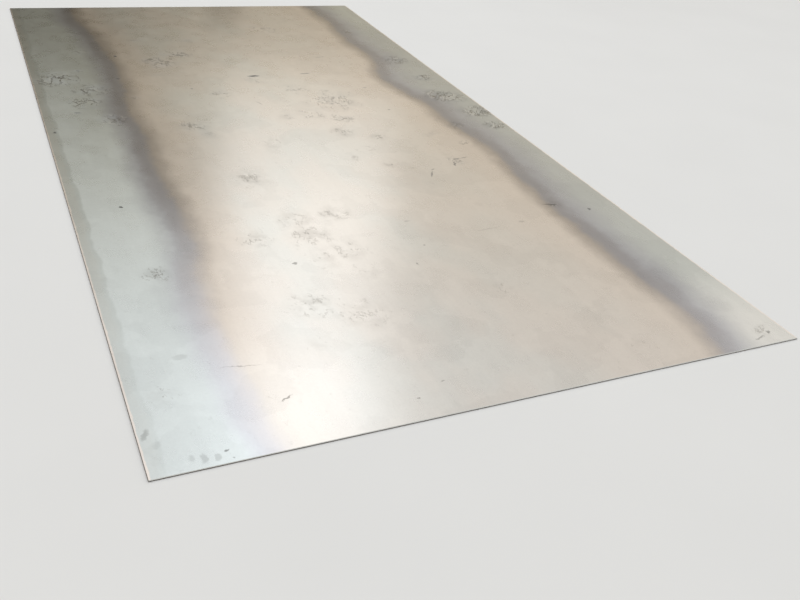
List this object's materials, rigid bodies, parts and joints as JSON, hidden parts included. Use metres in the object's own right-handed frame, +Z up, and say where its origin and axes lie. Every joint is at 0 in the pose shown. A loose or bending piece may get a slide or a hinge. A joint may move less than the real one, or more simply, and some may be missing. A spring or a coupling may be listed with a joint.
{
  "type": "steel plate",
  "caption": "Flat rectangular hot-rolled steel plate with as-rolled long edges, sheared ends and blue-grey mill scale.",
  "frame": {"origin": "middle of the underside", "axes": "+X across the plate, +Y along the rolling direction towards the far end, +Z up through the thickness"},
  "size_m": [1.25, 2.5, 0.003],
  "materials": {
    "mill_scale_steel": "hot-rolled, thin blue-grey mill scale with a warm centre, satin sheen"
  },
  "bodies": {
    "root": {"plate": "mill_scale_steel"}
  },
  "joints": []
}
